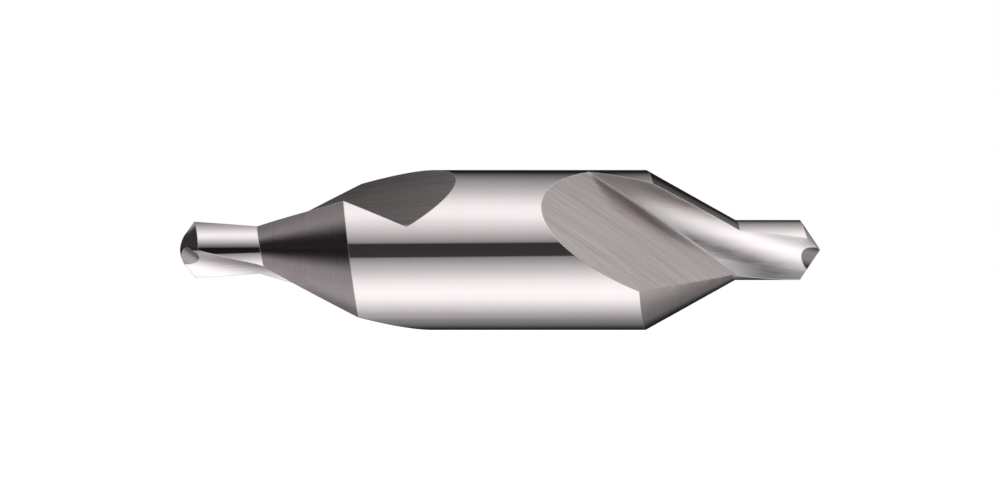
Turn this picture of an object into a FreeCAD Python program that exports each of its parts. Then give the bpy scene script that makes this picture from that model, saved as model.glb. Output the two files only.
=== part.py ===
import FreeCAD, Part
import math
import os
import Sketcher

# Double-ended centre drill, ground from one bar of high-speed steel.
# The tool's axis is X, +Z is up, and the origin is at mid-length on the axis.
# Angles round the axis are counted from -Y towards +Z: angle a is (y, z) = (-cos a, sin a).
# Each end is made as the +X end, with its cutters for one lip repeated half a turn round.
# Depths are counted back towards the shank, from the shoulder where pilot and cone meet.
# The second end is then turned over about a cross axis, so both ends cut right-handed.

VECTOR = FreeCAD.Vector
AXIS_X = VECTOR(1, 0, 0)
AXIS_Z = VECTOR(0, 0, 1)

# Driving dimensions, in millimetres and degrees
SIZES = [
    # bar
    ("overall_length", 80.0),
    ("body_dia", 20.0),
    ("pilot_dia", 7.5),
    ("countersink_angle", 60.0),
    ("pilot_length", 10.2),
    ("second_pilot_length", 9.8),
    # angle round the axis of the cross axis that turns the second end over
    ("end_index", 46.2),
    # flute: a round groove that twists, and drifts outwards towards the shank
    ("web_at_shoulder", 3.39),
    ("flute_radius", 5.27),
    ("flute_turn", -7.8),
    ("flute_lead", 187.9),
    ("flute_drift_rate", 0.15),
    ("flute_drift_turn", 52.1),
    # its section: straight on the rake side, and from the heel's turn on a wider arc
    ("rake_flank_turn", 0.7),
    ("heel_turn", 185.9),
    ("heel_radius", 22.6),
    # run-out ramp: a slightly crowned face that rises from the axis at the shoulder
    ("ramp_slope", 22.0),
    ("ramp_turn", 32.3),
    ("ramp_crown", 71.2),
    # clearance of each countersink land: its cone's axis leaves the tool's axis by these
    ("relief_turn", 50.0),
    ("relief_half_land", 44.0),
    ("relief_at_shoulder", 0.35),
    ("relief_at_shank", 0.66),
    # point
    ("point_angle", 112.0),
    ("flank_turn", 98.0),
    ("chisel_offset", 1.8),
    # round notch that thins the web at the point: its line leans off the tool's axis by the
    # slope, and passes level with the tip at these distances outwards and sideways
    ("notch_radius", 2.22),
    ("notch_turn", 18.1),
    ("notch_slope", 36.0),
    ("notch_out", 0.95),
    ("notch_side", 2.48),
    # how far the cutters start beyond the tip
    ("tip_margin", 2.0),
]
# the flute's sections, evenly spaced from past the tip to past the end of the ramp
SECTION_COUNT = 8
QUARTER_TURN = 90


def fill_sheet(doc):
    """Driving dimensions in a sheet, one named cell each."""
    sheet = doc.addObject("Spreadsheet::Sheet", "sizes")
    for row, (alias, value) in enumerate(SIZES, start=1):
        sheet.set("A%d" % row, alias)
        sheet.set("B%d" % row, str(value))
        sheet.setAlias("B%d" % row, alias)
    doc.recompute()


def size(doc, alias):
    """Number held by a cell of the sheet."""
    return float(doc.sizes.get(alias))


def bind(item, links):
    """Tie each property to a formula of the sheet's cells."""
    for path, formula in links:
        item.setExpression(path, formula)


def new_sketch(body, name, role):
    """Sketch on one of the body's own origin planes."""
    plane = next(item for item in body.Origin.OriginFeatures if item.Role == role)
    sketch = body.newObject("Sketcher::SketchObject", name)
    sketch.AttachmentSupport = (plane, [""])
    sketch.MapMode = "FlatFace"
    return sketch


def add_dimensions(sketch, rows):
    """Add each dimension, name it and tie it to its formula."""
    for name, values, formula in rows:
        index = sketch.addConstraint(Sketcher.Constraint(*values))
        sketch.renameConstraint(index, name)
        sketch.setExpression("Constraints." + name, formula)


def direction(turn):
    """(y, z) at this angle round the axis."""
    return -math.cos(math.radians(turn)), math.sin(math.radians(turn))


def radial(turn):
    """Unit vector square to the axis at this angle round it."""
    return VECTOR(0, *direction(turn))


def axis_point(doc, end, depth):
    """Point on the axis at this depth behind the shoulder."""
    return VECTOR(size(doc, "overall_length") / 2 - size(doc, end.pilot_cell) - depth, 0, 0)


def turned_to(main_axis, side_axis):
    """Rotation that carries local z to main_axis and local x towards side_axis."""
    return FreeCAD.Rotation(side_axis, VECTOR(), main_axis, "ZXY")


class End:
    """Name of one end and the cell that holds its pilot's length."""

    def __init__(self, name, pilot_cell):
        self.name = name
        self.pilot_cell = pilot_cell


def make_blank(doc, end):
    """Turned half of the bar: shank from the middle, cone, and pilot with a flat end."""
    half = size(doc, "overall_length") / 2
    pilot = size(doc, "pilot_dia") / 2
    shank = size(doc, "body_dia") / 2
    shoulder = axis_point(doc, end, 0).x
    cone_angle = math.radians(size(doc, "countersink_angle") / 2)
    corner = shoulder - (shank - pilot) / math.tan(cone_angle)
    body = doc.addObject("PartDesign::Body", end.name + "_blank")
    sketch = new_sketch(body, end.name + "_blank_profile", "XZ_Plane")
    outline = [(0, 0), (half, 0), (half, pilot), (shoulder, pilot), (corner, shank), (0, shank)]
    add = sketch.addConstraint
    for (x, r), (next_x, next_r) in zip(outline, outline[1:] + outline[:1]):
        sketch.addGeometry(Part.LineSegment(VECTOR(x, r, 0), VECTOR(next_x, next_r, 0)))
    count = len(outline)
    for side in range(count):
        add(Sketcher.Constraint("Coincident", side, 2, (side + 1) % count, 1))
    axis_side, end_side, pilot_side, cone_side, shank_side, middle_side = range(count)
    add(Sketcher.Constraint("Coincident", axis_side, 1, -1, 1))
    for side in (axis_side, pilot_side, shank_side):
        add(Sketcher.Constraint("Horizontal", side))
    for side in (end_side, middle_side):
        add(Sketcher.Constraint("Vertical", side))
    add_dimensions(sketch, [
        ("half_length", ("Distance", axis_side, half), "sizes.overall_length / 2"),
        ("pilot_radius", ("Distance", end_side, pilot), "sizes.pilot_dia / 2"),
        ("pilot_run", ("Distance", pilot_side, half - shoulder), "sizes." + end.pilot_cell),
        ("shank_radius", ("Distance", middle_side, shank), "sizes.body_dia / 2"),
        ("cone_turn", ("Angle", cone_side, math.pi - cone_angle),
         "180 - sizes.countersink_angle / 2"),
    ])
    turned = body.newObject("PartDesign::Revolution", end.name + "_turning")
    turned.Profile = sketch
    turned.ReferenceAxis = (sketch, ["H_Axis"])
    turned.Angle = 360.0
    doc.recompute()
    return body


def draw_groove(doc, sketch):
    """Round groove about the sketch's own origin, open towards the outside."""
    radius = size(doc, "flute_radius")
    heel_radius = size(doc, "heel_radius")
    reach = size(doc, "body_dia")
    rake = size(doc, "rake_flank_turn")
    heel = math.radians(180 - size(doc, "heel_turn"))
    # the rake side runs outwards from its tangent point, a quarter turn round the bottom
    rake_foot = VECTOR(*direction(rake + QUARTER_TURN), 0) * radius
    rake_tip = rake_foot + VECTOR(*direction(rake), 0) * reach
    # the heel's wider arc meets the bottom on the line through both centres
    heel_centre = VECTOR(math.cos(heel), math.sin(heel), 0) * (radius - heel_radius)
    bottom = sketch.addGeometry(Part.ArcOfCircle(
        Part.Circle(VECTOR(), AXIS_Z, radius), heel, math.atan2(rake_foot.y, rake_foot.x)))
    rake_line = sketch.addGeometry(Part.LineSegment(rake_foot, rake_tip))
    cap = sketch.addGeometry(Part.LineSegment(
        rake_tip, heel_centre - VECTOR(0, heel_radius, 0)))
    heel_arc = sketch.addGeometry(Part.ArcOfCircle(
        Part.Circle(heel_centre, AXIS_Z, heel_radius), -math.pi / 2, heel))
    add = sketch.addConstraint
    add(Sketcher.Constraint("Coincident", bottom, 3, -1, 1))
    add(Sketcher.Constraint("Tangent", bottom, 2, rake_line, 1))
    add(Sketcher.Constraint("Coincident", rake_line, 2, cap, 1))
    add(Sketcher.Constraint("Coincident", cap, 2, heel_arc, 1))
    add(Sketcher.Constraint("Tangent", heel_arc, 2, bottom, 1))
    add(Sketcher.Constraint("Vertical", heel_arc, 1, heel_arc, 3))
    add_dimensions(sketch, [
        ("bottom_radius", ("Radius", bottom, radius), "sizes.flute_radius"),
        ("heel_radius", ("Radius", heel_arc, heel_radius), "sizes.heel_radius"),
        ("rake_reach", ("Distance", rake_line, reach), "sizes.body_dia"),
        ("rake_turn", ("Angle", rake_line, math.radians(180 - rake)),
         "180 - sizes.rake_flank_turn"),
        ("bottom_span", ("Angle", bottom, math.pi / 2 - heel - math.radians(rake)),
         "sizes.heel_turn - sizes.rake_flank_turn - 90"),
    ])


def make_groove(doc, end):
    """Flute groove, lofted through sections square to the axis."""
    body = doc.addObject("PartDesign::Body", end.name + "_groove")
    sections = []
    for number in range(SECTION_COUNT):
        run = "(2 * sizes.body_dia + sizes.tip_margin) * %d / %d" % (number, SECTION_COUNT - 1)
        depth = "%s - sizes.%s - sizes.tip_margin" % (run, end.pilot_cell)
        sketch = new_sketch(body, "%s_groove_section_%d" % (end.name, number), "YZ_Plane")
        draw_groove(doc, sketch)
        sketch.AttachmentOffset = FreeCAD.Placement(VECTOR(), FreeCAD.Rotation(AXIS_Z, 1))
        twist = "(360 * (%s) / sizes.flute_lead)" % depth
        centre = "(sizes.web_at_shoulder / 2 + sizes.flute_radius)"
        drift = "(sizes.flute_drift_rate * (%s))" % depth
        turn = "(sizes.flute_turn + %s)" % twist
        drift_turn = "(sizes.flute_drift_turn + %s)" % twist
        bind(sketch, [
            (".AttachmentOffset.Base.x",
             "-%s * cos(%s) - %s * cos(%s)" % (centre, turn, drift, drift_turn)),
            (".AttachmentOffset.Base.y",
             "%s * sin(%s) + %s * sin(%s)" % (centre, turn, drift, drift_turn)),
            (".AttachmentOffset.Base.z",
             "sizes.overall_length / 2 - sizes.%s - (%s)" % (end.pilot_cell, depth)),
            (".AttachmentOffset.Rotation.Angle", "-" + twist),
        ])
        sections.append(sketch)
    doc.recompute()
    loft = body.newObject("PartDesign::AdditiveLoft", end.name + "_groove_loft")
    loft.Profile = sections[0]
    loft.Sections = sections[1:]
    doc.recompute()
    return body


def make_ramp_stock(doc, end):
    """Steel left standing under the run-out ramp: a large cylinder along the ramp's slope."""
    slope = math.radians(size(doc, "ramp_slope"))
    facing = radial(size(doc, "ramp_turn"))
    outwards = AXIS_X * math.sin(slope) + facing * math.cos(slope)
    downhill = AXIS_X * math.cos(slope) - facing * math.sin(slope)
    stock = doc.addObject("Part::Cylinder", end.name + "_ramp_stock")
    bind(stock, [("Radius", "sizes.ramp_crown"), ("Height", "2 * sizes.overall_length")])
    centre = axis_point(doc, end, 0) - outwards * size(doc, "ramp_crown")
    base = centre - downhill * size(doc, "overall_length")
    stock.Placement = FreeCAD.Placement(base, turned_to(downhill, outwards))
    return stock


def half_block(doc, name, start, length, turn):
    """Block on one side of the axis, facing this angle, from a start point towards the tip."""
    block = doc.addObject("Part::Box", name)
    bind(block, [
        ("Length", length),
        ("Width", "2 * sizes.body_dia"),
        ("Height", "sizes.body_dia"),
    ])
    sideways = radial(turn).cross(AXIS_X)
    corner = start - sideways * size(doc, "body_dia")
    block.Placement = FreeCAD.Placement(corner, turned_to(radial(turn), AXIS_X))
    return block


def backward_cone(doc, name, tip, axis, slope, length):
    """Solid cone that widens from its tip along its axis."""
    cone = doc.addObject("Part::Cone", name)
    cone.Radius1 = 0
    cone.Radius2 = length * slope
    cone.Height = length
    cone.Placement = FreeCAD.Placement(tip, turned_to(axis, AXIS_Z))
    return cone


def make_relief(doc, end):
    """Clearance behind one countersink lip: steel outside a cone that leans off the axis."""
    turned_slope = math.tan(math.radians(size(doc, "countersink_angle") / 2))
    lip = size(doc, "relief_turn")
    half_land = size(doc, "relief_half_land")
    pilot = size(doc, "pilot_dia") / 2
    shank = size(doc, "body_dia") / 2
    near = size(doc, "relief_at_shoulder")
    far = size(doc, "relief_at_shank")
    # the cone meets the turned one at the lip, and lies inside it from there to the heel
    lip_share = math.cos(math.radians(half_land))
    cone_run = (shank - pilot) / turned_slope
    slope = (shank - pilot - (far - near) * lip_share) / cone_run
    tip_run = (pilot - near * lip_share) / slope
    lean = (far - near) / cone_run
    leaning = radial(lip - half_land)
    tip = axis_point(doc, end, -tip_run) + leaning * (near - lean * tip_run)
    # a leaning cone's sections move off its axis as well, so the axis leans less than they do
    axis = leaning * (lean / (1 + slope ** 2)) - AXIS_X
    cone = backward_cone(doc, end.name + "_relief_cone", tip, axis, slope, 4 * shank / slope)
    kept_pilot = doc.addObject("Part::Cylinder", end.name + "_relief_pilot")
    bind(kept_pilot, [("Radius", "sizes.pilot_dia / 2"), ("Height", "sizes.overall_length / 2")])
    kept_pilot.Placement = FreeCAD.Placement(VECTOR(), turned_to(AXIS_X, AXIS_Z))
    kept = doc.addObject("Part::MultiFuse", end.name + "_relief_kept")
    kept.Shapes = [cone, kept_pilot]
    length = "sizes.body_dia / 2 / tan(sizes.countersink_angle / 2)"
    start = axis_point(doc, end, shank / turned_slope)
    block = half_block(doc, end.name + "_relief_block", start, length, lip + half_land)
    return cut(doc, block, kept, end.name + "_relief")


def make_flank(doc, end):
    """Clearance behind one point lip. Two such cones meet in the chisel edge."""
    slope = math.tan(math.radians(size(doc, "point_angle") / 2))
    offset = size(doc, "chisel_offset")
    turn = size(doc, "flank_turn")
    pilot = size(doc, "pilot_dia") / 2
    tip_depth = -size(doc, end.pilot_cell) - offset / slope
    tip = axis_point(doc, end, tip_depth) - radial(turn) * offset
    cone = backward_cone(doc, end.name + "_flank_cone", tip, -AXIS_X, slope, 4 * pilot)
    length = "sizes.pilot_dia / tan(sizes.point_angle / 2) + sizes.tip_margin"
    start = axis_point(doc, end, 2 * pilot / slope - size(doc, end.pilot_cell))
    block = half_block(doc, end.name + "_flank_block", start, length, turn)
    return cut(doc, block, cone, end.name + "_flank")


def make_notch(doc, end):
    """Round notch that thins the web beside the chisel edge, and leans out into the flute."""
    slope = math.radians(size(doc, "notch_slope"))
    facing = radial(size(doc, "notch_turn"))
    sideways = AXIS_X.cross(facing)
    run = AXIS_X * math.cos(slope) - facing * math.sin(slope)
    tip = axis_point(doc, end, -size(doc, end.pilot_cell))
    level = tip + facing * size(doc, "notch_out") + sideways * size(doc, "notch_side")
    notch = doc.addObject("Part::Cylinder", end.name + "_notch")
    bind(notch, [("Radius", "sizes.notch_radius"), ("Height", "2 * sizes.pilot_dia")])
    base = level - run * size(doc, "pilot_dia")
    notch.Placement = FreeCAD.Placement(base, turned_to(run, sideways))
    return notch


def placed_copy(doc, source, name, rotation):
    """The same shape, turned about the middle of the tool."""
    copy = doc.addObject("App::Link", name)
    copy.LinkedObject = source
    # the turn is added to the source's own placement, and doesn't replace it
    copy.LinkTransform = True
    copy.Placement = FreeCAD.Placement(VECTOR(), rotation)
    return copy


def cut(doc, base, tool, name):
    """Base less tool."""
    result = doc.addObject("Part::Cut", name)
    result.Base = base
    result.Tool = tool
    return result


def make_end(doc, end):
    """One finished end, from the middle of the shank to the tip."""
    work = make_blank(doc, end)
    flute = cut(doc, make_groove(doc, end), make_ramp_stock(doc, end), end.name + "_flute")
    half_turn = FreeCAD.Rotation(AXIS_X, 180)
    for cutter in (make_relief(doc, end), make_flank(doc, end), flute, make_notch(doc, end)):
        opposite = placed_copy(doc, cutter, cutter.Name + "_opposite", half_turn)
        work = cut(doc, work, cutter, cutter.Name + "_one_lip")
        work = cut(doc, work, opposite, cutter.Name + "_two_lips")
    return work


def check(doc, drill):
    """Stop on any failed object or bad shape."""
    for item in doc.Objects:
        if "Invalid" in item.State or "Error" in item.State:
            raise RuntimeError("%s failed: %s" % (item.Label, item.State))
    if drill.Shape.isNull() or not drill.Shape.isValid() or len(drill.Shape.Solids) != 1:
        raise RuntimeError("the drill is not one valid solid")


def main():
    os.makedirs("parts", exist_ok=True)
    doc = FreeCAD.newDocument("centre_drill")
    fill_sheet(doc)
    first = make_end(doc, End("first", "pilot_length"))
    second = make_end(doc, End("second", "second_pilot_length"))
    turned_over = FreeCAD.Rotation(radial(size(doc, "end_index")), 180)
    drill = doc.addObject("Part::MultiFuse", "centre_drill")
    drill.Shapes = [first, placed_copy(doc, second, "second_end", turned_over)]
    drill.Refine = True
    doc.recompute()
    check(doc, drill)
    drill.Shape.exportStep("parts/%s.step" % drill.Label)
    print("%s: %.1f mm3, %d faces" % (drill.Label, drill.Shape.Volume, len(drill.Shape.Faces)))


main()
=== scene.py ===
import math

import bpy
import numpy as np
from bpy.props import FloatProperty, FloatVectorProperty, PointerProperty
from mathutils import Matrix, Vector


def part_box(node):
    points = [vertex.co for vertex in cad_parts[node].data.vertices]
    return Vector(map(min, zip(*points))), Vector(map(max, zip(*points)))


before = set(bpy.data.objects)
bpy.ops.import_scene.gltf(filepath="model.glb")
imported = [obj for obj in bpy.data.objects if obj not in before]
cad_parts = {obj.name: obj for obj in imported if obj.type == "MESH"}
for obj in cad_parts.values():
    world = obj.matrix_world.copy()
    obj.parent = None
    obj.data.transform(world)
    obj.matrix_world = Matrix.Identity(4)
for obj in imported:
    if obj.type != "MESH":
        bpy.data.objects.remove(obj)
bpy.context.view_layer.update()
DRILL = "centre_drill"

bl_info = {
    "name": "Centre drill finish",
    "version": (1, 0, 0),
    "blender": (4, 5, 0),
    "location": "View3D > Sidebar > Centre drill",
    "description": "Ground steel finishes, studio light and camera for a centre drill",
    "category": "Material",
}

HIGH_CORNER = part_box(DRILL)[1]
HALF_LENGTH = HIGH_CORNER.x
SHANK_RADIUS = HIGH_CORNER.z
MM = 0.001
AXIS = Vector((1, 0, 0))
WHITE = (1, 1, 1, 1)


def around(turn):
    """Direction square to the axis, at this angle from -Y towards +Z."""
    return Vector((0, -math.cos(turn), math.sin(turn)))


def colour_setting(name, description, default):
    """Setting that holds a colour."""
    return FloatVectorProperty(
        name=name, description=description, subtype="COLOR", size=3, min=0, max=1,
        default=default)


def roughness_setting(name, description, default):
    """Setting that holds a roughness."""
    return FloatProperty(
        name=name, description=description, subtype="FACTOR", min=0, max=1, default=default)


def angle_setting(name, description, degrees):
    """Setting that holds an angle."""
    return FloatProperty(
        name=name, description=description, unit="ROTATION", default=math.radians(degrees))


def length_setting(name, description, millimetres):
    """Setting that holds a length."""
    return FloatProperty(
        name=name, description=description, unit="LENGTH", default=millimetres * MM)


class SteelSettings(bpy.types.PropertyGroup):
    """Colours and roughness of the ground steel. Some colours hold painted shade, and some
    painted light.
    """

    shank_colour: colour_setting(
        "Shank colour", "Bright ground steel of the shank and the pilots' lands",
        (0.685, 0.635, 0.643))
    cone_colour: colour_setting(
        "Countersink colour", "Ground steel of the countersink lands", (0.65, 0.575, 0.587))
    run_out_colour: colour_setting(
        "Run-out colour", "Lined steel of the flutes' run-out faces", (0.655, 0.585, 0.588))
    # painted shade: the band beside the crease is drawn darker and brown in this colour
    painted_crease_shade_colour: colour_setting(
        "Burn colour", "Steel browned by the wheel beside the crease", (0.40, 0.355, 0.357))
    # painted shade: the flutes are drawn darker in this colour towards mid-length, where they are
    # also rougher
    painted_flute_shade_colour: colour_setting(
        "Dull colour", "Flute steel dulled by the wheel where it runs out", (0.72, 0.67, 0.665))
    # painted light: lighter than the other steel, to make up for the shade in the flutes' hollow
    flute_colour_and_painted_light: colour_setting(
        "Flute colour", "Satin steel of the flutes", (0.89, 0.845, 0.852))
    flank_colour: colour_setting(
        "Flank colour", "Ground steel of the point's flanks", (0.54, 0.50, 0.515))
    # painted shade: the notches are drawn darker in this colour, as their recess mirrors dark
    notch_colour_and_painted_shade: colour_setting(
        "Notch colour", "Ground steel of the point's notches", (0.405, 0.377, 0.387))
    # painted glint: edges and the crease's line are drawn lighter in this colour
    edge_glint_colour: colour_setting(
        "Edge colour", "Steel rubbed bright along the edges", (0.92, 0.90, 0.90))
    shank_roughness: roughness_setting(
        "Shank roughness", "Roughness of the shank and the pilots' lands", 0.05)
    cone_roughness: roughness_setting(
        "Countersink roughness", "Roughness of the countersink lands", 0.12)
    run_out_roughness: roughness_setting(
        "Run-out roughness", "Roughness of the flutes' run-out faces", 0.26)
    flute_roughness: roughness_setting(
        "Flute roughness", "Roughness of the flutes", 0.36)
    dull_roughness: roughness_setting(
        "Dull roughness", "Roughness of the flutes where they run out", 0.7)
    point_roughness: roughness_setting(
        "Point roughness", "Roughness of the point's flanks and notches", 0.18)
    edge_roughness: roughness_setting(
        "Edge roughness", "Roughness of the rubbed edges", 0.5)


class ShapeSettings(bpy.types.PropertyGroup):
    """Places and directions on the tool that the finishes follow, at its +X end."""

    end_index: angle_setting(
        "Cross axis", "Angle of the cross axis that turns one end onto the other", 46.2)
    run_out_slope: angle_setting(
        "Run-out slope", "Slope of the run-out faces to the axis", 22.0)
    run_out_turn: angle_setting(
        "Run-out turn", "Angle round the axis that the run-out face looks to", 32.3)
    crease: FloatVectorProperty(
        name="Crease", description="Direction of the crease between run-out and flute",
        subtype="DIRECTION", size=3, default=(0.833, 0.021, -0.552))
    crease_offset: length_setting(
        "Crease offset", "Distance of the crease from the middle, across the run-out face", 9.6)
    flute_lead: length_setting("Flute lead", "Length of one full turn of the flutes", 187.9)
    # where the flutes' rougher part with painted shade holds, and where it has ended
    dull_and_shade_start: length_setting(
        "Dull start", "Distance from mid-length within which the flutes are all dull", 12)
    dull_and_shade_end: length_setting(
        "Dull end", "Distance from mid-length where the flutes' dull part has ended", 23)
    flank_turn: angle_setting(
        "Flank turn", "Angle round the axis that the point's flank looks to", 98.0)
    notch_turn: angle_setting(
        "Notch turn", "Angle round the axis that the point's notch opens to", 18.1)
    notch_slope: angle_setting("Notch slope", "Slope of the notch to the axis", 36.0)
    point_length: length_setting("Point length", "Length of the point, flanks and notches", 2.6)


class StudioSettings(bpy.types.PropertyGroup):
    """Camera, floor and light."""

    distance: length_setting(
        "Camera distance", "Distance of the camera from the tool's axis", 500)
    lens: FloatProperty(
        name="Lens", description="Focal length on a sensor 36 mm wide", unit="CAMERA",
        default=144)
    floor_drop: length_setting("Floor drop", "Height of the tool's axis over the floor", 60)
    level: FloatProperty(
        name="Studio level", description="Brightness of the soft light where it is full",
        min=0, default=1.5)


# Nodes

def node(tree, kind, inputs=None, **settings):
    """Node with its settings, and its inputs linked or given values."""
    made = tree.nodes.new(kind)
    for key, value in settings.items():
        setattr(made, key, value)
    for key, value in (inputs or {}).items():
        if isinstance(value, bpy.types.NodeSocket):
            tree.links.new(value, made.inputs[key])
        else:
            made.inputs[key].default_value = value
    return made


def calculate(tree, operation, *values):
    """Result of a Math node."""
    return node(tree, "ShaderNodeMath", dict(enumerate(values)), operation=operation).outputs[0]


def combine(tree, operation, *values):
    """Vector result of a Vector Math node."""
    made = node(tree, "ShaderNodeVectorMath", dict(enumerate(values)), operation=operation)
    return made.outputs["Vector"]


def scale(tree, vector, factor):
    """Vector times a number."""
    made = node(tree, "ShaderNodeVectorMath", {0: vector, "Scale": factor}, operation="SCALE")
    return made.outputs["Vector"]


def dot(tree, first, second):
    """Dot product of two vectors."""
    made = node(tree, "ShaderNodeVectorMath", {0: first, 1: second}, operation="DOT_PRODUCT")
    return made.outputs["Value"]


def remap(tree, value, low, high, to_low, to_high, kind="LINEAR"):
    """Value moved from one range to another, and kept inside it."""
    return node(tree, "ShaderNodeMapRange", {
        "Value": value, "From Min": low, "From Max": high, "To Min": to_low, "To Max": to_high,
    }, interpolation_type=kind).outputs[0]


def blend(tree, factor, first, second):
    """Colour between two colours."""
    return node(tree, "ShaderNodeMix", {"Factor": factor, "A": first, "B": second},
                data_type="RGBA").outputs["Result"]


def grey_ramp(tree, place, stops):
    """Grey level by place from 0 to 1, from a list of (place, level)."""
    ramp = node(tree, "ShaderNodeValToRGB", {0: place})
    elements = ramp.color_ramp.elements
    while len(elements) < len(stops):
        elements.new(0.5)
    for element, (stop, level) in zip(elements, stops):
        element.position = stop
        element.color = (level, level, level, 1)
    return ramp.outputs[0]


def new_group(name, inputs, outputs):
    """Empty shader node group with these sockets, and its input and output nodes."""
    group = bpy.data.node_groups.new(name, "ShaderNodeTree")
    for label, kind, default in inputs:
        socket = group.interface.new_socket(label, in_out="INPUT", socket_type=kind)
        socket.default_value = default
    for label, kind in outputs:
        group.interface.new_socket(label, in_out="OUTPUT", socket_type=kind)
    return group, group.nodes.new("NodeGroupInput"), group.nodes.new("NodeGroupOutput")


def use_group(tree, name, inputs=None):
    """Group node with these inputs."""
    return node(tree, "ShaderNodeGroup", inputs, node_tree=bpy.data.node_groups[name])


# Effects that the finishes share

# outputs of the grinding lines: name, how many times coarser than the height, and shift
LINE_LAYERS = (("Height", 1.0, 0.0), ("Shade", 4.0, 11.3), ("Tint", 11.0, 23.7))
LINE_DETAIL = 3.0
LINE_ROUGHNESS = 0.6
# how alike the rounded and the plain normal are where an edge's roughness and painted glint
# begin, and where they are full
EDGE_BEGINS = 0.999
EDGE_FULL = 0.97
EDGE_SAMPLES = 6
# distances along the crease from the tool's middle: where the painted shade beside it comes up,
# and where it fades
CREASE_SHADE_RISE = (2 * MM, 10 * MM)
CREASE_SHADE_FADE = (13 * MM, 21 * MM)
# strength of the painted crease shade before it comes up, and how much its streaks break it up
CREASE_SHADE_AT_START = 0.3
CREASE_SHADE_STREAKS = 0.7


def one_lip_group():
    """Position carried to the +X end, and there to the lip that lies to Side.

    All four lips are alike. Cross is the cross axis that turns one end onto the other."""
    group, given, result = new_group("one_lip", [
        ("Position", "NodeSocketVector", (0, 0, 0)),
        ("Cross", "NodeSocketVector", (0, 1, 0)),
        ("Side", "NodeSocketVector", (0, 1, 0)),
    ], [("Position", "NodeSocketVector")])
    position = given.outputs["Position"]
    cross = given.outputs["Cross"]
    reach = calculate(group, "MULTIPLY", dot(group, position, cross), 2.0)
    turned = combine(group, "SUBTRACT", scale(group, cross, reach), position)
    place = node(group, "ShaderNodeSeparateXYZ", {0: position}).outputs["X"]
    second_end = calculate(group, "LESS_THAN", place, 0.0)
    change = combine(group, "SUBTRACT", turned, position)
    first = combine(group, "ADD", position, scale(group, change, second_end))
    opposite = combine(group, "MULTIPLY", first, (1, -1, -1))
    far_side = calculate(group, "LESS_THAN", dot(group, first, given.outputs["Side"]), 0.0)
    change = combine(group, "SUBTRACT", opposite, first)
    folded = combine(group, "ADD", first, scale(group, change, far_side))
    group.links.new(folded, result.inputs["Position"])


def untwist_group():
    """Position with the flutes' twist taken out, so that they run straight along X."""
    group, given, result = new_group("untwist", [
        ("Position", "NodeSocketVector", (0, 0, 0)),
        ("Lead", "NodeSocketFloat", 190 * MM),
    ], [("Position", "NodeSocketVector")])
    position = given.outputs["Position"]
    place = node(group, "ShaderNodeSeparateXYZ", {0: position}).outputs["X"]
    turns = calculate(group, "DIVIDE", place, given.outputs["Lead"])
    turned = node(group, "ShaderNodeVectorRotate", {
        "Vector": position, "Angle": calculate(group, "MULTIPLY", turns, -math.tau),
        "Axis": AXIS}, rotation_type="AXIS_ANGLE")
    group.links.new(turned.outputs[0], result.inputs["Position"])


def grinding_lines_group():
    """Lines left by a grinding wheel: height, shade and tint, each from 0 to 1.

    Along and Off are the lines' sizes along the axis and square to it. The lines run along the
    axis where Along is the larger, and across it otherwise."""
    group, given, result = new_group("grinding_lines", [
        ("Position", "NodeSocketVector", (0, 0, 0)),
        ("Axis", "NodeSocketVector", AXIS),
        ("Along", "NodeSocketFloat", 10 * MM),
        ("Off", "NodeSocketFloat", 0.3 * MM),
    ], [(name, "NodeSocketFloat") for name, _, _ in LINE_LAYERS])
    position = given.outputs["Position"]
    along_rate = calculate(group, "DIVIDE", 1.0, given.outputs["Along"])
    off_rate = calculate(group, "DIVIDE", 1.0, given.outputs["Off"])
    reach = dot(group, position, given.outputs["Axis"])
    stretch = calculate(group, "MULTIPLY", reach,
                        calculate(group, "SUBTRACT", along_rate, off_rate))
    place = combine(group, "ADD", scale(group, position, off_rate),
                    scale(group, given.outputs["Axis"], stretch))
    for name, coarseness, shift in LINE_LAYERS:
        spot = combine(group, "ADD", scale(group, place, 1 / coarseness), (shift,) * 3)
        noise = node(group, "ShaderNodeTexNoise", {
            "Vector": spot, "Scale": 1.0, "Detail": LINE_DETAIL, "Roughness": LINE_ROUGHNESS})
        group.links.new(noise.outputs["Fac"], result.inputs[name])


def edge_group():
    """Sharp edges, slightly rounded: their mask, which makes them rougher and gives them a
    painted glint, and the normal over them.
    """
    group, given, result = new_group("bright_edges", [
        ("Width", "NodeSocketFloat", 0.13 * MM),
    ], [("Mask", "NodeSocketFloat"), ("Normal", "NodeSocketVector")])
    rounded = node(group, "ShaderNodeBevel", {"Radius": given.outputs["Width"]},
                   samples=EDGE_SAMPLES).outputs["Normal"]
    plain = node(group, "ShaderNodeNewGeometry").outputs["Normal"]
    alike = dot(group, rounded, plain)
    mask = remap(group, alike, EDGE_BEGINS, EDGE_FULL, 0.0, 1.0)
    group.links.new(mask, result.inputs["Mask"])
    group.links.new(rounded, result.inputs["Normal"])


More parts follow.
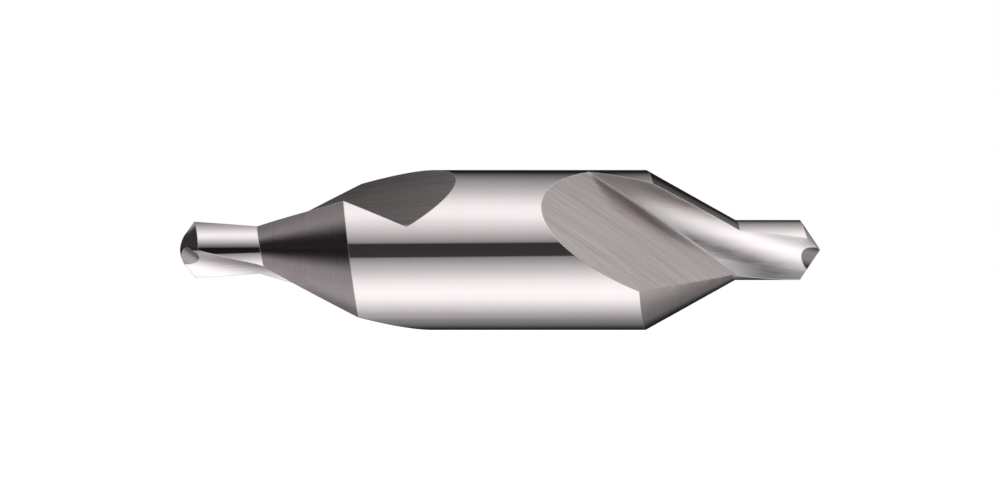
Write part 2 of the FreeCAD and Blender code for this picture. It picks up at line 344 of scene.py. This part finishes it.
def crease_shade_group():
    """Painted shade beside the crease, as a brown band, and a painted glint line right at the
    crease.

    The band fades away from the crease, in streaks, and towards both of its ends."""
    group, given, result = new_group("painted_crease_shade", [
        ("Position", "NodeSocketVector", (0, 0, 0)),
        ("Along", "NodeSocketVector", AXIS),
        ("Across", "NodeSocketVector", (0, 1, 0)),
        ("Crease", "NodeSocketFloat", 9.6 * MM),
        ("Width", "NodeSocketFloat", 2.2 * MM),
        ("Shade", "NodeSocketFloat", 0.5),
        ("Height", "NodeSocketFloat", 0.5),
        ("Line width", "NodeSocketFloat", 0.32 * MM),
    ], [("Mask", "NodeSocketFloat"), ("Line", "NodeSocketFloat")])
    position = given.outputs["Position"]
    # painted shade: darker the nearer the crease, broken up by the streaks
    gap = calculate(group, "SUBTRACT", given.outputs["Crease"],
                    dot(group, position, given.outputs["Across"]))
    share = calculate(group, "DIVIDE", gap, given.outputs["Width"])
    streaks = calculate(group, "ADD", given.outputs["Shade"], given.outputs["Height"])
    uneven = calculate(group, "MULTIPLY_ADD", streaks, CREASE_SHADE_STREAKS, -CREASE_SHADE_STREAKS)
    near = remap(group, calculate(group, "ADD", share, uneven), 0.0, 1.0, 1.0, 0.0)
    run = dot(group, position, given.outputs["Along"])
    risen = remap(group, run, *CREASE_SHADE_RISE, CREASE_SHADE_AT_START, 1.0, "SMOOTHSTEP")
    left = remap(group, run, *CREASE_SHADE_FADE, 1.0, 0.0, "SMOOTHSTEP")
    mask = calculate(group, "MULTIPLY", near, calculate(group, "MULTIPLY", risen, left))
    # painted glint: the line right at the crease
    half_width = calculate(group, "MULTIPLY", given.outputs["Line width"], 0.5)
    line = remap(group, gap, half_width, given.outputs["Line width"], 1.0, 0.0)
    group.links.new(mask, result.inputs["Mask"])
    group.links.new(line, result.inputs["Line"])


# Finishes

# parts of the noise's range that are stretched to the full range of a line's effect
LINE_RANGE = (0.3, 0.7)
TINT_RANGE = (0.35, 0.65)
# share by which roughness differs from line to line
ROUGHNESS_SPREAD = 0.15
# how far the streaks carry the end of a flute's rougher part with painted shade
DULL_AND_SHADE_STREAKS = 6 * MM
# mask of a painted glint line where there is none
NO_LINE = 0.0


class Finish:
    """Colour, roughness, line strengths and painted shade patch of one kind of ground face."""

    def __init__(self, colour, roughness, line_depth=0.0, contrast=0.0, tint=0.0,
                 painted_shade_colour=None, shade_patch_roughness=None):
        self.colour = Vector(colour)
        self.roughness = roughness
        self.line_depth = line_depth
        self.contrast = contrast
        self.tint = tint
        self.painted_shade_colour = painted_shade_colour
        self.shade_patch_roughness = shade_patch_roughness


def steel(name, finish, edge, lines, painted_shade=None):
    """Steel with grinding lines. lines(tree, position) gives the group node that makes them.

    edge is the finish of the rounded edges: rougher, and lighter in colour as a painted glint.
    painted_shade(tree, position, marks) gives masks of painted shade and of a painted glint line."""
    material = bpy.data.materials.new(name)
    material.use_nodes = True
    tree = material.node_tree
    tree.nodes.clear()
    position = node(tree, "ShaderNodeTexCoord").outputs["Object"]
    marks = lines(tree, position)
    low = 1 - finish.contrast
    high = 1 + finish.contrast
    shaded = remap(tree, marks.outputs["Shade"], *LINE_RANGE, low, high)
    lined = remap(tree, marks.outputs["Height"], *LINE_RANGE, low, high)
    level = calculate(tree, "MULTIPLY", shaded, lined)
    mauve = finish.colour * Vector((1 + finish.tint, 1 - finish.tint, 1 + finish.tint))
    olive = finish.colour * Vector((1 - finish.tint, 1 + finish.tint, 1 - 2 * finish.tint))
    tinted = remap(tree, marks.outputs["Tint"], *TINT_RANGE, 0.0, 1.0)
    colour = blend(tree, tinted, (*mauve, 1), (*olive, 1))
    colour = scale(tree, colour, level)
    smoothest = finish.roughness * (1 - ROUGHNESS_SPREAD)
    roughest = finish.roughness * (1 + ROUGHNESS_SPREAD)
    rough = remap(tree, marks.outputs["Height"], *LINE_RANGE, smoothest, roughest)
    line = NO_LINE
    # the patch's darker colour is painted shade; its roughness is real
    if painted_shade:
        painted_shade_mask, line = painted_shade(tree, position, marks)
        colour = blend(tree, painted_shade_mask, colour, (*finish.painted_shade_colour, 1))
        rough = remap(tree, painted_shade_mask, 0.0, 1.0, rough, finish.shade_patch_roughness)
    edges = use_group(tree, "bright_edges")
    # painted glint: edges and the crease's line get the edge's lighter colour, and also its
    # roughness
    rubbed_and_glint = calculate(tree, "MAXIMUM", edges.outputs["Mask"], line)
    colour = blend(tree, rubbed_and_glint, colour, (*edge.colour, 1))
    rough = remap(tree, rubbed_and_glint, 0.0, 1.0, rough, edge.roughness)
    bump = node(tree, "ShaderNodeBump", {
        "Strength": 1.0, "Distance": finish.line_depth, "Height": marks.outputs["Height"],
        "Normal": edges.outputs["Normal"]})
    surface = node(tree, "ShaderNodeBsdfPrincipled", {
        "Base Color": colour, "Roughness": rough, "Normal": bump.outputs[0],
        "Metallic": 1.0})
    output = node(tree, "ShaderNodeOutputMaterial")
    tree.links.new(surface.outputs[0], output.inputs["Surface"])
    return material


def run_out_directions(shape):
    """Out of the run-out face, along its crease, and across it."""
    facing = around(shape.run_out_turn)
    out = AXIS * math.sin(shape.run_out_slope) + facing * math.cos(shape.run_out_slope)
    crease = Vector(shape.crease)
    along = (crease - out * crease.dot(out)).normalized()
    return out, along, out.cross(along)


def notch_direction(shape):
    """Direction that the notch runs in."""
    facing = around(shape.notch_turn)
    return AXIS * math.cos(shape.notch_slope) - facing * math.sin(shape.notch_slope)


def make_finishes(settings, shape):
    """Materials by the name of the ground face."""
    one_lip_group()
    untwist_group()
    grinding_lines_group()
    edge_group()
    crease_shade_group()
    cross = around(shape.end_index)
    front = around(0)
    out, crease, across = run_out_directions(shape)

    def on_lip(tree, position, side):
        """Position carried to the lip of the +X end that lies to this side."""
        return use_group(tree, "one_lip", {
            "Position": position, "Cross": cross, "Side": side}).outputs["Position"]

    def rings(pitch, length):
        """Lines round the tool."""
        return lambda tree, position: use_group(tree, "grinding_lines", {
            "Position": position, "Axis": AXIS, "Along": pitch, "Off": length})

    def lip_lines(side, axis, along, off):
        """Lines that lie alike on all four lips."""
        return lambda tree, position: use_group(tree, "grinding_lines", {
            "Position": on_lip(tree, position, side), "Axis": axis, "Along": along, "Off": off})

    def flute_lines(tree, position):
        """Lines that follow the flutes' twist."""
        folded = on_lip(tree, position, front)
        straight = use_group(tree, "untwist", {"Position": folded, "Lead": shape.flute_lead})
        return use_group(tree, "grinding_lines", {
            "Position": straight.outputs["Position"], "Axis": AXIS, "Along": 14 * MM,
            "Off": 0.3 * MM})

    def crease_shade(tree, position, marks):
        """Masks of the painted shade beside the crease and of the painted glint line at it."""
        made = use_group(tree, "painted_crease_shade", {
            "Position": on_lip(tree, position, out), "Along": crease, "Across": across,
            "Crease": shape.crease_offset, "Shade": marks.outputs["Shade"],
            "Height": marks.outputs["Height"]})
        return made.outputs["Mask"], made.outputs["Line"]

    def dull_and_shaded(tree, position, marks):
        """Mask of the flutes' rougher part with painted shade, towards mid-length, with no
        painted glint line.
        """
        place = node(tree, "ShaderNodeSeparateXYZ", {0: on_lip(tree, position, front)})
        streaked = calculate(tree, "MULTIPLY_ADD", marks.outputs["Shade"], DULL_AND_SHADE_STREAKS,
                             -DULL_AND_SHADE_STREAKS / 2)
        reach = calculate(tree, "ADD", place.outputs["X"], streaked)
        mask = remap(tree, reach, shape.dull_and_shade_start, shape.dull_and_shade_end, 1.0, 0.0, "SMOOTHSTEP")
        return mask, NO_LINE

    # the edges' lighter colour is a painted glint; their roughness is real
    edge = Finish(settings.edge_glint_colour, settings.edge_roughness)
    shank = Finish(settings.shank_colour, settings.shank_roughness,
                   line_depth=0.00004 * MM, contrast=0.008, tint=0.004)
    cone = Finish(settings.cone_colour, settings.cone_roughness,
                  line_depth=0.0005 * MM, contrast=0.03, tint=0.01)
    # the run-out's patch is painted shade beside the crease
    run_out = Finish(settings.run_out_colour, settings.run_out_roughness,
                     line_depth=0.002 * MM, contrast=0.1, tint=0.007,
                     painted_shade_colour=settings.painted_crease_shade_colour,
                     shade_patch_roughness=settings.run_out_roughness)
    # the flutes' lighter colour is painted light in their hollow
    flute = Finish(settings.flute_colour_and_painted_light, settings.flute_roughness,
                   line_depth=0.0008 * MM, contrast=0.05, tint=0.012,
                   painted_shade_colour=settings.painted_flute_shade_colour,
                   shade_patch_roughness=settings.dull_roughness)
    flank = Finish(settings.flank_colour, settings.point_roughness,
                   line_depth=0.0012 * MM, contrast=0.06, tint=0.01)
    # the notches' darker colour is painted shade
    notch = Finish(settings.notch_colour_and_painted_shade, settings.point_roughness,
                   line_depth=0.0015 * MM, contrast=0.12, tint=0.01)
    run_out_lines = lip_lines(out, crease, along=16 * MM, off=0.17 * MM)
    flank_lines = lip_lines(around(shape.flank_turn), AXIS, along=0.2 * MM, off=3 * MM)
    notch_lines = lip_lines(front, notch_direction(shape), along=0.16 * MM, off=2 * MM)
    return {
        "shank": steel("ground_shank", shank, edge, rings(pitch=0.3 * MM, length=6 * MM)),
        "margin": steel("ground_margin", shank, edge, rings(pitch=0.25 * MM, length=4 * MM)),
        "countersink": steel("ground_countersink", cone, edge,
                             rings(pitch=0.22 * MM, length=6 * MM)),
        "run_out": steel("lined_run_out", run_out, edge, run_out_lines, crease_shade),
        "flute": steel("satin_flute", flute, edge, flute_lines, dull_and_shaded),
        "flank": steel("ground_flank", flank, edge, flank_lines),
        "notch": steel("ground_notch", notch, edge, notch_lines),
    }


# Which finish each ground face has

# A face is told by the means over it of its normals' parts outwards and along the axis.
ROUND_OUTWARD = 0.97
ROUND_ALONG = 0.1
# a round face further out than this share of the shank's radius is the shank
SHANK_SHARE = 0.9
FLANK_ALONG = 0.75
CONE_OUTWARD = 0.8
CONE_ALONG = (0.4, 0.6)
# how well a run-out's normals agree with the direction that it looks to
RUN_OUT_AGREES = 0.96


def face_islands(mesh):
    """Number of the connected island of triangles, one ground face, that each belongs to."""
    corners = np.zeros(len(mesh.polygons) * 3, int)
    mesh.polygons.foreach_get("vertices", corners)
    corners = corners.reshape(-1, 3)
    label = np.arange(len(mesh.vertices))
    while True:
        lowest = label[corners].min(1)
        before = label.copy()
        np.minimum.at(label, corners.ravel(), np.repeat(lowest, 3))
        label = label[label]
        if (label == before).all():
            return label[corners[:, 0]]


def finish_of(points, normals, areas, shape):
    """Name of the finish of one ground face, from its triangles as on the +X end."""
    weight = areas / areas.sum()
    radius = np.hypot(points[:, 1], points[:, 2])
    outward = weight @ ((normals[:, 1:] * points[:, 1:]).sum(1) / radius)
    along = weight @ normals[:, 0]
    out = np.array(run_out_directions(shape)[0])
    # both run-outs of an end count, as one is the other turned half round the axis
    agrees = weight @ (np.abs(normals[:, 1:] @ out[1:]) + normals[:, 0] * out[0])
    if outward > ROUND_OUTWARD and abs(along) < ROUND_ALONG:
        return "shank" if weight @ radius > SHANK_RADIUS * SHANK_SHARE else "margin"
    if points[:, 0].min() > HALF_LENGTH - shape.point_length:
        return "flank" if along > FLANK_ALONG else "notch"
    if outward > CONE_OUTWARD and CONE_ALONG[0] < along < CONE_ALONG[1]:
        return "countersink"
    if agrees > RUN_OUT_AGREES:
        return "run_out"
    return "flute"


def sort_faces(mesh, shape):
    """Name of the finish of each triangle."""
    count = len(mesh.polygons)
    islands = face_islands(mesh)
    centres = np.zeros(count * 3)
    normals = np.zeros(count * 3)
    areas = np.zeros(count)
    mesh.polygons.foreach_get("center", centres)
    mesh.polygons.foreach_get("normal", normals)
    mesh.polygons.foreach_get("area", areas)
    centres = centres.reshape(-1, 3)
    normals = normals.reshape(-1, 3)
    cross = np.array(around(shape.end_index))
    # half a turn about the cross axis, which carries the second end onto the +X end
    half_turn = 2 * np.outer(cross, cross) - np.eye(3)
    chosen = [None] * count
    for island in np.unique(islands):
        faces = np.nonzero(islands == island)[0]
        points = centres[faces]
        facing = normals[faces]
        if areas[faces] @ points[:, 0] < 0:
            points = points @ half_turn
            facing = facing @ half_turn
        finish = finish_of(points, facing, areas[faces], shape)
        for face in faces:
            chosen[face] = finish
    return chosen


class CENTREDRILL_OT_finish_drill(bpy.types.Operator):
    """Give each ground face of the drill its own steel finish"""

    bl_idname = "centredrill.finish_drill"
    bl_label = "Finish the drill"

    def execute(self, context):
        scene = context.scene
        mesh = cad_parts[DRILL].data
        finishes = make_finishes(scene.drill_steel, scene.drill_shape)
        names = list(finishes)
        mesh.materials.clear()
        for name in names:
            mesh.materials.append(finishes[name])
        chosen = sort_faces(mesh, scene.drill_shape)
        missing = sorted(set(names) - set(chosen))
        if missing:
            raise RuntimeError("no face of the drill has the finish %s" % missing)
        for polygon, name in zip(mesh.polygons, chosen):
            polygon.material_index = names.index(name)
        return {"FINISHED"}


# Stage

SENSOR_WIDTH = 36
FLOOR_REACH = 3.0
FLOOR_COLOUR = (0.85, 0.85, 0.85, 1)
# light of the floor's own, which only the camera sees
FLOOR_GLOW = 0.7

# The light on the tool is set by its direction. Tables by turn have degrees round the tool's
# axis, from 0 at the camera and upwards. Tables by X have the X of the direction.

# soft light by turn, with a gap at the camera
RING = [
    (-180, 0.0), (-165, 0.005), (-150, 0.03), (-135, 0.13), (-120, 0.225), (-105, 0.4),
    (-90, 0.65), (-75, 0.9), (-64, 0.96), (-52, 0.88), (-45, 0.785), (-30, 0.52), (-11, 0.22),
    (-10, 0.035), (9, 0.03), (10, 0.22), (15, 0.335), (30, 0.6), (45, 0.84), (54, 0.9),
    (64, 0.87), (75, 0.745), (90, 0.525), (105, 0.38), (120, 0.26), (135, 0.135),
    (150, 0.015), (180, 0.0),
]
# how far by turn the gap's factor holds, and that factor by X, darkest for the second pilot
GAP = [(-180, 0.0), (-11, 0.0), (-10, 1.0), (9, 1.0), (16, 0.71), (21, 0.6), (28, 0.35),
       (40, 0.2), (55, 0.0), (180, 0.0)]
GAP_FACTOR = [(-0.14, 1.0), (-0.1, 0.25), (-0.056, 0.25), (-0.045, 1.0)]
# the same for the light from below, which is brighter where the first end's flute mirrors it
BELOW = [(-180, 0.0), (-160, 0.0), (-145, 1.0), (-108, 1.0), (-90, 0.3), (-78, 0.0),
         (180, 0.0)]
BELOW_FACTOR = [(-0.5, 1.0), (-0.42, 1.6), (-0.34, 1.95), (-0.29, 1.8), (-0.23, 1.1),
                (-0.18, 1.0)]
# share of the soft light by X, above and below, and half the Z over which one becomes the other
UPPER_SHARE = [(-1.0, 0.15), (-0.9, 0.2), (-0.75, 0.3), (-0.6, 0.5), (-0.45, 0.4),
               (-0.3, 0.55), (-0.1, 1.0), (0.2, 1.0), (0.4, 0.85), (0.6, 0.5), (1.0, 0.25)]
LOWER_SHARE = [(-1.0, 0.12), (-0.9, 0.16), (-0.75, 0.3), (-0.6, 0.8), (-0.45, 0.6),
               (-0.3, 0.68), (-0.12, 1.0), (0.3, 1.05), (0.45, 0.9), (0.6, 0.56), (1.0, 0.25)]
SHARE_BLEND = 0.12
# factor by turn towards the second end, as from dark cards beside the camera, and the X where
# it begins and where it is full
CARD = [(-180, 1.0), (-56, 1.0), (-26, 0.2), (-11, 0.18), (-10, 2.4), (9, 2.4), (10, 0.17),
        (22, 0.16), (54, 1.0), (180, 1.0)]
CARD_REACH = (-0.65, -0.85)
# light by turn of the backdrop behind the tool, and its share by X
BACKDROP = [(-180, 1.0), (-176, 0.0), (152, 0.0), (163, 1.0), (180, 1.0)]
BACKDROP_SHARE = [(-1.0, 0.035), (-0.7, 0.035), (-0.6, 0.0), (0.3, 0.0), (0.42, 0.3),
                  (1.0, 0.3)]
# light by X from behind, on the side away from the camera, and the Y where it begins and is full
REAR = [(-0.72, 0.0), (-0.68, 0.45), (-0.6, 0.45), (-0.54, 0.0), (0.55, 0.0), (0.66, 0.45),
        (1.0, 0.45)]
REAR_REACH = (0.4, 0.65)


def studio_world(settings):
    """White to the camera, and soft light round the tool's axis to all else."""
    world = bpy.data.worlds.new("studio")
    world.use_nodes = True
    tree = world.node_tree
    tree.nodes.clear()
    toward = node(tree, "ShaderNodeTexCoord").outputs["Generated"]
    parts = node(tree, "ShaderNodeSeparateXYZ", {0: toward})
    front = calculate(tree, "MULTIPLY", parts.outputs["Y"], -1.0)
    angle = calculate(tree, "ARCTAN2", parts.outputs["Z"], front)
    turn = calculate(tree, "MULTIPLY_ADD", angle, 1 / math.tau, 0.5)
    sideways = calculate(tree, "MULTIPLY_ADD", parts.outputs["X"], 0.5, 0.5)

    def by_turn(stops):
        """Level by the turn of the direction."""
        return grey_ramp(tree, turn, [((degrees + 180) / 360, level) for degrees, level in stops])

    def by_x(stops):
        """Level by the X of the direction."""
        return grey_ramp(tree, sideways, [((x + 1) / 2, level) for x, level in stops])

    light = by_turn(RING)
    for reach, factor in ((GAP, GAP_FACTOR), (BELOW, BELOW_FACTOR)):
        change = blend(tree, by_turn(reach), WHITE, by_x(factor))
        light = calculate(tree, "MULTIPLY", light, change)
    above = remap(tree, parts.outputs["Z"], -SHARE_BLEND, SHARE_BLEND, 0.0, 1.0, "SMOOTHSTEP")
    share = blend(tree, above, by_x(LOWER_SHARE), by_x(UPPER_SHARE))
    light = calculate(tree, "MULTIPLY", light, share)
    beside = remap(tree, parts.outputs["X"], *CARD_REACH, 0.0, 1.0, "SMOOTHSTEP")
    light = calculate(tree, "MULTIPLY", light, blend(tree, beside, WHITE, by_turn(CARD)))
    light = calculate(tree, "MULTIPLY_ADD", by_turn(BACKDROP), by_x(BACKDROP_SHARE), light)
    behind = remap(tree, parts.outputs["Y"], *REAR_REACH, 0.0, 1.0, "SMOOTHSTEP")
    light = calculate(tree, "MULTIPLY_ADD", behind, by_x(REAR), light)
    strength = calculate(tree, "MULTIPLY", light, settings.level)
    studio = node(tree, "ShaderNodeBackground", {"Color": WHITE, "Strength": strength})
    plain = node(tree, "ShaderNodeBackground", {"Color": WHITE, "Strength": 1.0})
    seen = node(tree, "ShaderNodeLightPath").outputs["Is Camera Ray"]
    both = node(tree, "ShaderNodeMixShader", {0: seen, 1: studio.outputs[0], 2: plain.outputs[0]})
    output = node(tree, "ShaderNodeOutputWorld")
    tree.links.new(both.outputs[0], output.inputs["Surface"])
    return world


def make_floor(settings):
    """Plain pale floor that keeps the tool's shadow, and is clear from below."""
    mesh = bpy.data.meshes.new("floor")
    corners = [(x * FLOOR_REACH, y * FLOOR_REACH, -settings.floor_drop)
               for x, y in ((-1, -1), (1, -1), (1, 1), (-1, 1))]
    mesh.from_pydata(corners, [], [(0, 1, 2, 3)])
    floor = bpy.data.objects.new("floor", mesh)
    bpy.context.scene.collection.objects.link(floor)
    material = bpy.data.materials.new("floor")
    material.use_nodes = True
    tree = material.node_tree
    tree.nodes.clear()
    matt = node(tree, "ShaderNodeBsdfDiffuse", {"Color": FLOOR_COLOUR})
    seen = node(tree, "ShaderNodeLightPath").outputs["Is Camera Ray"]
    strength = calculate(tree, "MULTIPLY", seen, FLOOR_GLOW)
    glow = node(tree, "ShaderNodeEmission", {"Strength": strength})
    top = node(tree, "ShaderNodeAddShader", {0: matt.outputs[0], 1: glow.outputs[0]})
    clear = node(tree, "ShaderNodeBsdfTransparent")
    below = node(tree, "ShaderNodeNewGeometry").outputs["Backfacing"]
    both = node(tree, "ShaderNodeMixShader", {0: below, 1: top.outputs[0], 2: clear.outputs[0]})
    output = node(tree, "ShaderNodeOutputMaterial")
    tree.links.new(both.outputs[0], output.inputs["Surface"])
    mesh.materials.append(material)
    floor.visible_glossy = False


class CENTREDRILL_OT_set_stage(bpy.types.Operator):
    """Set the floor, the studio light and the camera"""

    bl_idname = "centredrill.set_stage"
    bl_label = "Set the stage"

    def execute(self, context):
        settings = context.scene.drill_studio
        context.scene.world = studio_world(settings)
        make_floor(settings)
        data = bpy.data.cameras.new("camera")
        data.sensor_width = SENSOR_WIDTH
        data.lens = settings.lens
        camera = bpy.data.objects.new("camera", data)
        place = Matrix.Translation((0, -settings.distance, 0))
        camera.matrix_world = place @ Matrix.Rotation(math.pi / 2, 4, "X")
        context.scene.collection.objects.link(camera)
        context.scene.camera = camera
        context.scene.view_settings.view_transform = "Standard"
        return {"FINISHED"}


class CENTREDRILL_PT_panel(bpy.types.Panel):
    """Settings and steps of the centre drill's scene"""

    bl_idname = "CENTREDRILL_PT_panel"
    bl_label = "Centre drill"
    bl_space_type = "VIEW_3D"
    bl_region_type = "UI"
    bl_category = "Centre drill"

    def draw(self, context):
        for group in (context.scene.drill_steel, context.scene.drill_shape,
                      context.scene.drill_studio):
            box = self.layout.box()
            for name in group.__annotations__:
                box.prop(group, name)
        for operator in (CENTREDRILL_OT_finish_drill, CENTREDRILL_OT_set_stage):
            self.layout.operator(operator.bl_idname)


CLASSES = (SteelSettings, ShapeSettings, StudioSettings, CENTREDRILL_OT_finish_drill,
           CENTREDRILL_OT_set_stage, CENTREDRILL_PT_panel)


def register():
    for item in CLASSES:
        bpy.utils.register_class(item)
    bpy.types.Scene.drill_steel = PointerProperty(type=SteelSettings)
    bpy.types.Scene.drill_shape = PointerProperty(type=ShapeSettings)
    bpy.types.Scene.drill_studio = PointerProperty(type=StudioSettings)


def unregister():
    del bpy.types.Scene.drill_studio
    del bpy.types.Scene.drill_shape
    del bpy.types.Scene.drill_steel
    for item in reversed(CLASSES):
        bpy.utils.unregister_class(item)


def main():
    register()
    bpy.ops.centredrill.set_stage()
    bpy.ops.centredrill.finish_drill()


if __name__ == "__main__":
    main()
